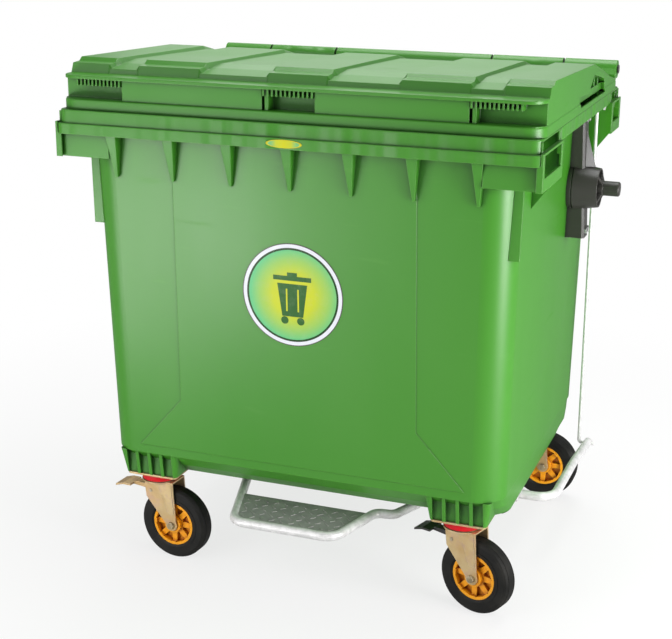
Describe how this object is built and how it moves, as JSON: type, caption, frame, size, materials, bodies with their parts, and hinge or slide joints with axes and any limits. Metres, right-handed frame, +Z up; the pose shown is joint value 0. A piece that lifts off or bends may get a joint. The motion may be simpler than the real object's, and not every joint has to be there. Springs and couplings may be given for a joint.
{
  "type": "wheeled waste container",
  "caption": "Four-wheeled waste container with a moulded tub, a hinged flat lid, a foot pedal with push rod, side trunnions and swivel castors.",
  "frame": {"origin": "centre of the footprint on the ground, under the wheels", "axes": "+Z up, -Y is the front with the pedal and grips, +Y is the hinge side, +X is the side with the push rod"},
  "size_m": [1.37, 1.056, 1.361],
  "materials": {
    "green_plastic": "semi-gloss",
    "green_plastic_dark": "semi-gloss",
    "lid_plastic": "semi-gloss",
    "black_plastic": "satin",
    "zinc": "satin",
    "black_pin": "satin",
    "label": "gloss",
    "badge": "gloss",
    "galvanised_tube": "galvanised",
    "checker_plate": "galvanised",
    "galvanised_bracket": "galvanised",
    "galvanised_rod": "galvanised",
    "yellow_zinc": "passivated",
    "yellow_zinc_bolt": "passivated",
    "yellow_zinc_plate": "passivated",
    "black_bush": "satin",
    "orange_rim": "semi-gloss",
    "tyre_rubber": "matt",
    "brake_zinc": "passivated",
    "brake_black": "satin",
    "red_seal": "semi-gloss"
  },
  "bodies": {
    "tub_body": {"castor_king_bolts": "zinc", "castor_plate_bolts": "zinc", "castor_plates": "yellow_zinc_plate", "castor_seals": "red_seal", "drain_plug": "green_plastic_dark", "hinge_pins": "black_pin", "pedal_saddle_bolts": "zinc", "pedal_saddles": "galvanised_bracket", "rim_badge": "badge", "round_label": "label", "trunnion_left": "black_plastic", "trunnion_right": "black_plastic", "trunnion_screws": "zinc", "tub": "green_plastic", "tub_base": "green_plastic", "tub_gussets": "green_plastic", "tub_handles": "green_plastic", "tub_rim": "green_plastic"},
    "lid_body": {"lid": "lid_plastic", "lid_lug": "zinc"},
    "pedal_body": {"pedal_lever": "galvanised_tube", "pedal_tread": "checker_plate"},
    "rod_body": {"push_rod": "galvanised_rod"},
    "fork_front_left": {"brake_pin_front_left": "zinc", "castor_axle_front_left": "yellow_zinc_bolt", "castor_fork_front_left": "yellow_zinc"},
    "wheel_front_left": {"wheel_bush_front_left": "black_bush", "wheel_rim_front_left": "orange_rim", "wheel_tyre_front_left": "tyre_rubber"},
    "fork_front_right": {"brake_pin_front_right": "zinc", "castor_axle_front_right": "yellow_zinc_bolt", "castor_fork_front_right": "yellow_zinc"},
    "wheel_front_right": {"wheel_bush_front_right": "black_bush", "wheel_rim_front_right": "orange_rim", "wheel_tyre_front_right": "tyre_rubber"},
    "fork_rear_left": {"castor_axle_rear_left": "yellow_zinc_bolt", "castor_fork_rear_left": "yellow_zinc"},
    "wheel_rear_left": {"wheel_bush_rear_left": "black_bush", "wheel_rim_rear_left": "orange_rim", "wheel_tyre_rear_left": "tyre_rubber"},
    "fork_rear_right": {"castor_axle_rear_right": "yellow_zinc_bolt", "castor_fork_rear_right": "yellow_zinc"},
    "wheel_rear_right": {"wheel_bush_rear_right": "black_bush", "wheel_rim_rear_right": "orange_rim", "wheel_tyre_rear_right": "tyre_rubber"},
    "brake_front_left": {"brake_lever_front_left": "brake_zinc"},
    "brake_front_right": {"brake_lever_front_right": "brake_black"}
  },
  "joints": [
    {"name": "lid_hinge", "type": "hinge", "parent": "tub_body", "child": "lid_body", "pos_m": [0, 0.5025, 1.293], "axis": [-1, 0, 0], "range_deg": [0, 50]},
    {"name": "pedal_pivot", "type": "hinge", "parent": "tub_body", "child": "pedal_body", "pos_m": [0, -0.056, 0.19], "axis": [1, 0, 0], "range_deg": [0, 19.4]},
    {"name": "rod_pivot", "type": "hinge", "parent": "pedal_body", "child": "rod_body", "pos_m": [0.584, 0.388, 0.19], "axis": [1, 0, 0], "range_deg": [-20.4, 0]},
    {"name": "swivel_front_left", "type": "hinge", "parent": "tub_body", "child": "fork_front_left", "pos_m": [-0.43, -0.376, 0.23], "axis": [0, 0, 1], "continuous": true},
    {"name": "spin_front_left", "type": "hinge", "parent": "fork_front_left", "child": "wheel_front_left", "pos_m": [-0.38019, -0.38036, 0.1], "axis": [0.0872, 0.9962, 0], "continuous": true},
    {"name": "swivel_front_right", "type": "hinge", "parent": "tub_body", "child": "fork_front_right", "pos_m": [0.43, -0.376, 0.23], "axis": [0, 0, 1], "continuous": true},
    {"name": "spin_front_right", "type": "hinge", "parent": "fork_front_right", "child": "wheel_front_right", "pos_m": [0.47781, -0.39062, 0.1], "axis": [0.2924, 0.9563, 0], "continuous": true},
    {"name": "swivel_rear_left", "type": "hinge", "parent": "tub_body", "child": "fork_rear_left", "pos_m": [-0.43, 0.405, 0.23], "axis": [0, 0, 1], "continuous": true},
    {"name": "spin_rear_left", "type": "hinge", "parent": "fork_rear_left", "child": "wheel_rear_left", "pos_m": [-0.38, 0.405, 0.1], "axis": [0, 1, 0], "continuous": true},
    {"name": "swivel_rear_right", "type": "hinge", "parent": "tub_body", "child": "fork_rear_right", "pos_m": [0.43, 0.405, 0.23], "axis": [0, 0, 1], "continuous": true},
    {"name": "spin_rear_right", "type": "hinge", "parent": "fork_rear_right", "child": "wheel_rear_right", "pos_m": [0.48, 0.405, 0.1], "axis": [0, 1, 0], "continuous": true},
    {"name": "brake_front_left", "type": "hinge", "parent": "fork_front_left", "child": "brake_front_left", "pos_m": [-0.44195, -0.37495, 0.1926], "axis": [-0.0872, -0.9962, 0], "range_deg": [0, 12]},
    {"name": "brake_front_right", "type": "hinge", "parent": "fork_front_right", "child": "brake_front_right", "pos_m": [0.41852, -0.37249, 0.1926], "axis": [-0.2924, -0.9563, 0], "range_deg": [0, 12]}
  ],
  "couplings": [
    {"joint": "pedal_pivot", "follows": "lid_hinge", "ratio": 0.388},
    {"joint": "rod_pivot", "follows": "lid_hinge", "ratio": -0.408}
  ]
}
